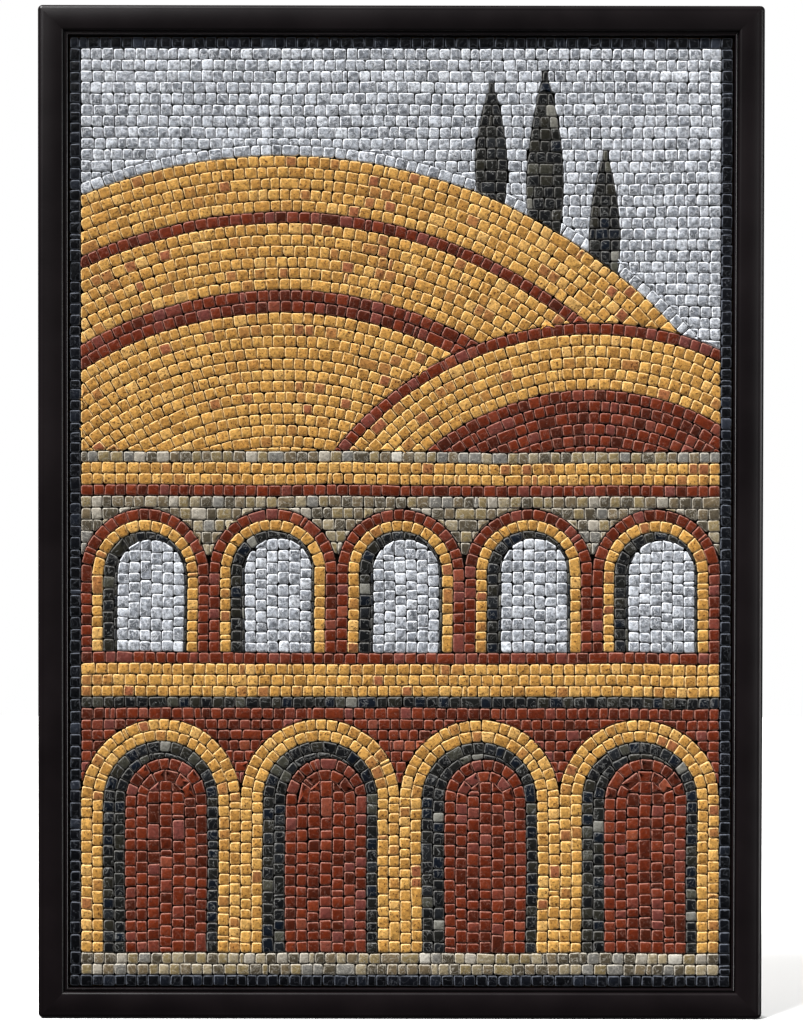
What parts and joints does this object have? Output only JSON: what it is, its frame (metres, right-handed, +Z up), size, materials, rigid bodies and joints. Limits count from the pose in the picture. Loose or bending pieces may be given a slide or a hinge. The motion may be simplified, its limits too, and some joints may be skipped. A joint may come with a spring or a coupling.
{
  "type": "framed mosaic panel",
  "caption": "Framed marble mosaic panel, an arcade in two tiers below terraced hills, made to hang flat on a wall.",
  "frame": {"origin": "centre of the flush back, where the panel bears on the wall", "axes": "+Z up the panel, +Y into the wall, so that the picture faces -Y, and +X to the viewer's right"},
  "size_m": [0.676, 0.024, 0.944],
  "materials": {
    "lacquered_wood": "satin dark brown-black lacquer",
    "fibreboard": "raw fibreboard",
    "adhesive_bed": "matt dark grout",
    "grey_marble": "tumbled, veined",
    "ochre_marble": "tumbled, pitted",
    "terracotta_marble": "tumbled",
    "black_marble": "tumbled, with grey-white veins",
    "taupe_marble": "tumbled, mixed brown-grey to cream",
    "border_marble": "tumbled, slightly polished blue-black"
  },
  "bodies": {
    "root": {"frame_rail_bottom": "lacquered_wood", "frame_rail_right": "lacquered_wood", "frame_rail_top": "lacquered_wood", "frame_rail_left": "lacquered_wood", "backing_board": "fibreboard", "setting_bed": "adhesive_bed", "border_tesserae": "border_marble", "sky": "grey_marble", "cypress_1": "black_marble", "cypress_2": "black_marble", "cypress_3": "black_marble", "far_hill_terrace_1": "ochre_marble", "far_hill_terrace_2": "terracotta_marble", "far_hill_terrace_3": "ochre_marble", "far_hill_terrace_4": "terracotta_marble", "far_hill_foot": "ochre_marble", "near_hill_terrace_1": "terracotta_marble", "near_hill_terrace_2": "ochre_marble", "near_hill_foot": "terracotta_marble", "coping": "taupe_marble", "upper_frieze": "ochre_marble", "upper_string": "terracotta_marble", "upper_arch_outer_ring_1": "terracotta_marble", "upper_arch_inner_ring_1": "ochre_marble", "upper_arch_reveal_1": "black_marble", "upper_arch_opening_1": "grey_marble", "upper_arch_outer_ring_2": "terracotta_marble", "upper_arch_inner_ring_2": "ochre_marble", "upper_arch_reveal_2": "black_marble", "upper_arch_opening_2": "grey_marble", "upper_arch_outer_ring_3": "terracotta_marble", "upper_arch_inner_ring_3": "ochre_marble", "upper_arch_reveal_3": "black_marble", "upper_arch_opening_3": "grey_marble", "upper_arch_outer_ring_4": "terracotta_marble", "upper_arch_inner_ring_4": "ochre_marble", "upper_arch_reveal_4": "black_marble", "upper_arch_opening_4": "grey_marble", "upper_arch_outer_ring_5": "terracotta_marble", "upper_arch_inner_ring_5": "ochre_marble", "upper_arch_reveal_5": "black_marble", "upper_arch_opening_5": "grey_marble", "upper_spandrels": "taupe_marble", "upper_sill": "terracotta_marble", "middle_frieze": "ochre_marble", "middle_string": "black_marble", "lower_arch_ring_1": "ochre_marble", "lower_arch_reveal_1": "black_marble", "lower_arch_infill_1": "terracotta_marble", "lower_arch_ring_2": "ochre_marble", "lower_arch_reveal_2": "black_marble", "lower_arch_infill_2": "terracotta_marble", "lower_arch_ring_3": "ochre_marble", "lower_arch_reveal_3": "black_marble", "lower_arch_infill_3": "terracotta_marble", "lower_arch_ring_4": "ochre_marble", "lower_arch_reveal_4": "black_marble", "lower_arch_infill_4": "terracotta_marble", "lower_spandrels": "terracotta_marble", "base": "taupe_marble"}
  },
  "joints": []
}
